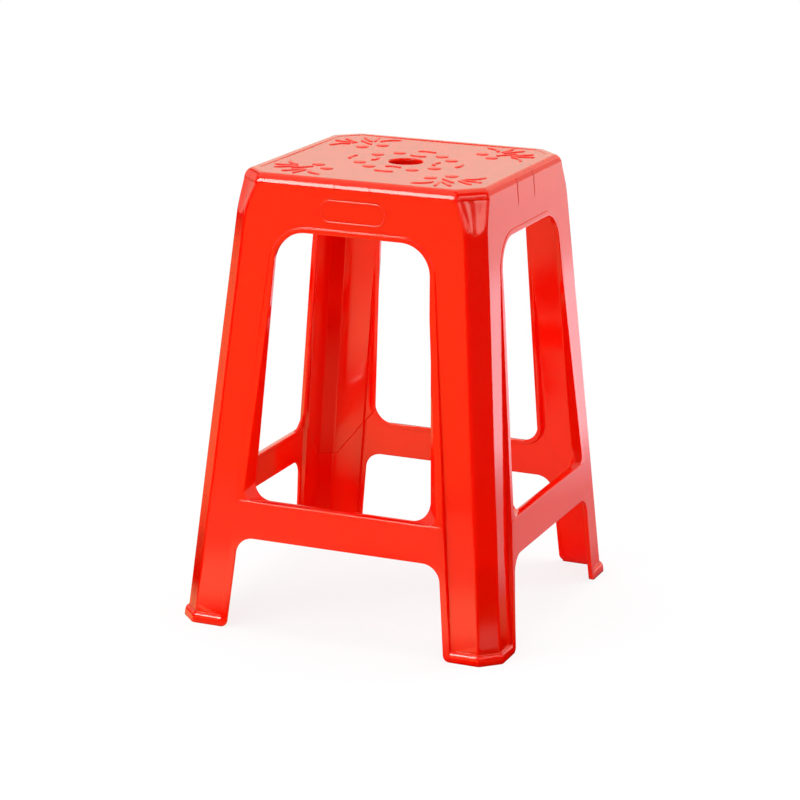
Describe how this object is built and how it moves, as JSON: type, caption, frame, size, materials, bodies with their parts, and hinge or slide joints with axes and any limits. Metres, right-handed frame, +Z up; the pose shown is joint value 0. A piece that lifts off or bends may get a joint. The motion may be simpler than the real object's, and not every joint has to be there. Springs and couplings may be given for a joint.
{
  "type": "stacking stool",
  "caption": "Square one-piece plastic stacking stool with splayed legs, side windows, stretchers and a recessed seat with a finger hole.",
  "frame": {"origin": "on the floor, under the middle of the seat", "axes": "+Z up from the floor to the seat, -Y towards the side with the badge place, +X to the right as seen from that side"},
  "size_m": [0.3488, 0.3488, 0.46],
  "materials": {
    "red_plastic": "glossy, evenly coloured red polypropylene"
  },
  "bodies": {
    "root": {"seat_panel": "red_plastic", "seat_rim": "red_plastic", "seat_ribs": "red_plastic", "apron_front": "red_plastic", "apron_right": "red_plastic", "apron_back": "red_plastic", "apron_left": "red_plastic", "stretcher_front": "red_plastic", "stretcher_right": "red_plastic", "stretcher_back": "red_plastic", "stretcher_left": "red_plastic", "leg_front_right": "red_plastic", "leg_back_right": "red_plastic", "leg_back_left": "red_plastic", "leg_front_left": "red_plastic"}
  },
  "joints": []
}
